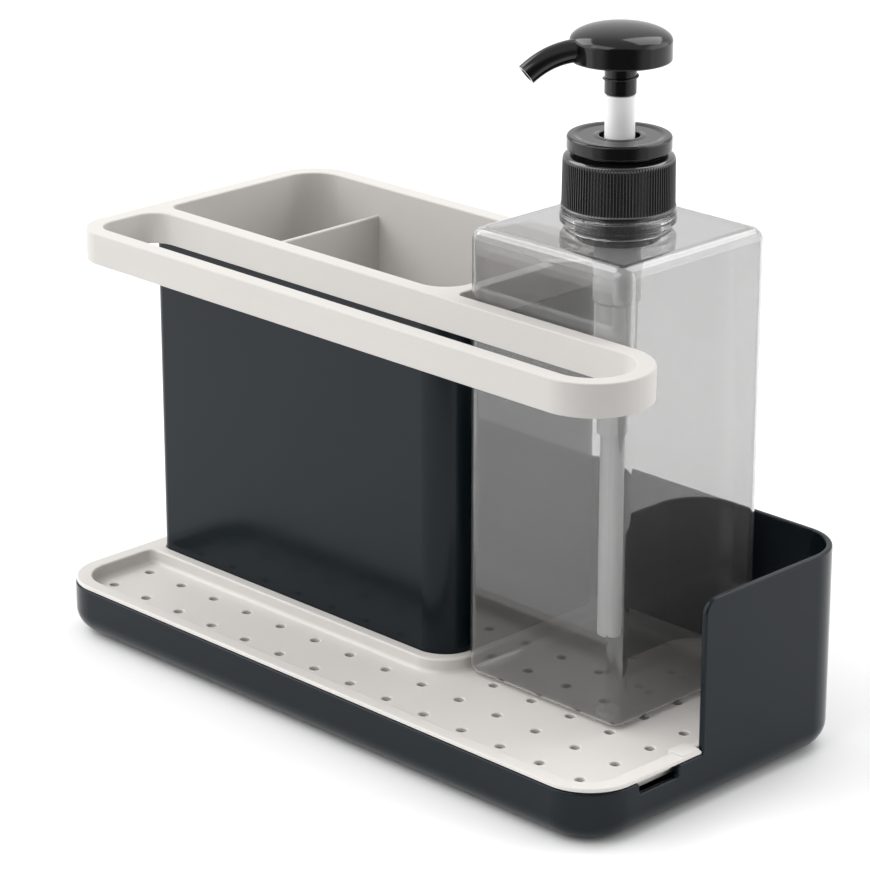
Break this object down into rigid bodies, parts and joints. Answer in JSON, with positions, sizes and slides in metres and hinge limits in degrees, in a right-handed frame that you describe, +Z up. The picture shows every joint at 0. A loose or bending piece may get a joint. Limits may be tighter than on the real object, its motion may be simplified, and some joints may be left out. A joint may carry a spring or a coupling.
{
  "type": "sink organizer",
  "caption": "Sink caddy with a drip tray over a raised-corner base, a tall bin with a two-compartment insert and towel rail, and a square soap bottle with a press pump.",
  "frame": {"origin": "centre of the footprint, on the resting surface", "axes": "+X along the length towards the raised corner wall, +Y from front to back, +Z up"},
  "size_m": [0.2896, 0.139, 0.265],
  "materials": {
    "light_plastic": "fine satin moulded",
    "dark_plastic": "satin moulded",
    "pads": "matt",
    "clear_plastic": "clear, smoky grey plastic",
    "black_plastic": "glossy",
    "white_plastic": "semi-gloss",
    "natural_plastic": "translucent natural",
    "steel": "drawn wire and polished balls",
    "seal": "smooth black rubber"
  },
  "bodies": {
    "base": {"base_tray": "dark_plastic", "foot_1": "pads", "foot_2": "pads", "foot_3": "pads", "foot_4": "pads"},
    "drip_tray": {"drip_tray": "light_plastic"},
    "bin": {"bin_body": "dark_plastic"},
    "insert": {"compartment_insert": "light_plastic"},
    "bottle": {"soap_bottle": "clear_plastic"},
    "gasket": {"neck_gasket": "seal"},
    "pump_unit": {"pump_cylinder": "natural_plastic", "dip_tube": "natural_plastic", "lock_disc": "black_plastic", "return_spring": "steel"},
    "closure": {"screw_closure": "black_plastic"},
    "plunger": {"pump_stem": "white_plastic", "piston_seal": "natural_plastic", "spring_retainer": "white_plastic"},
    "head": {"pump_head": "black_plastic"},
    "inlet_valve": {"inlet_ball": "steel"},
    "outlet_valve": {"outlet_ball": "steel"}
  },
  "joints": [
    {"name": "tray_lift", "type": "slide", "parent": "base", "child": "drip_tray", "axis": [0, 0, 1], "range_m": [0, 0.08]},
    {"name": "bin_lift", "type": "slide", "parent": "drip_tray", "child": "bin", "axis": [0, 0, 1], "range_m": [0, 0.065]},
    {"name": "insert_lift", "type": "slide", "parent": "bin", "child": "insert", "axis": [0, 0, 1], "range_m": [0, 0.115]},
    {"name": "bottle_lift", "type": "slide", "parent": "drip_tray", "child": "bottle", "axis": [0, 0, 1], "range_m": [0, 0.07]},
    {"name": "pump_lift_off", "type": "slide", "parent": "bottle", "child": "gasket", "axis": [0, 0, 1], "range_m": [0, 0.185]},
    {"name": "pump_rise", "type": "slide", "parent": "gasket", "child": "pump_unit", "axis": [0, 0, 1], "range_m": [0, 0.0063]},
    {"name": "closure_turn", "type": "hinge", "parent": "pump_unit", "child": "closure", "pos_m": [0.0679, 0.0235, 0.1979], "axis": [0, 0, 1], "range_deg": [0, 540]},
    {"name": "pump_press", "type": "slide", "parent": "pump_unit", "child": "plunger", "axis": [0, 0, -1], "range_m": [0, 0.014], "stiffness_N_per_m": 600, "springref_m": -0.005, "deforming": ["return_spring"]},
    {"name": "head_swivel", "type": "hinge", "parent": "plunger", "child": "head", "pos_m": [0.0679, 0.0235, 0.2399], "axis": [0, 0, 1], "continuous": true},
    {"name": "inlet_ball_lift", "type": "slide", "parent": "pump_unit", "child": "inlet_valve", "axis": [0, 0, 1], "range_m": [0, 0.002]},
    {"name": "outlet_ball_lift", "type": "slide", "parent": "plunger", "child": "outlet_valve", "axis": [0, 0, 1], "range_m": [0, 0.0013]}
  ],
  "couplings": [
    {"joint": "closure_turn", "follows": "pump_rise", "rad_per_m": 1496}
  ]
}
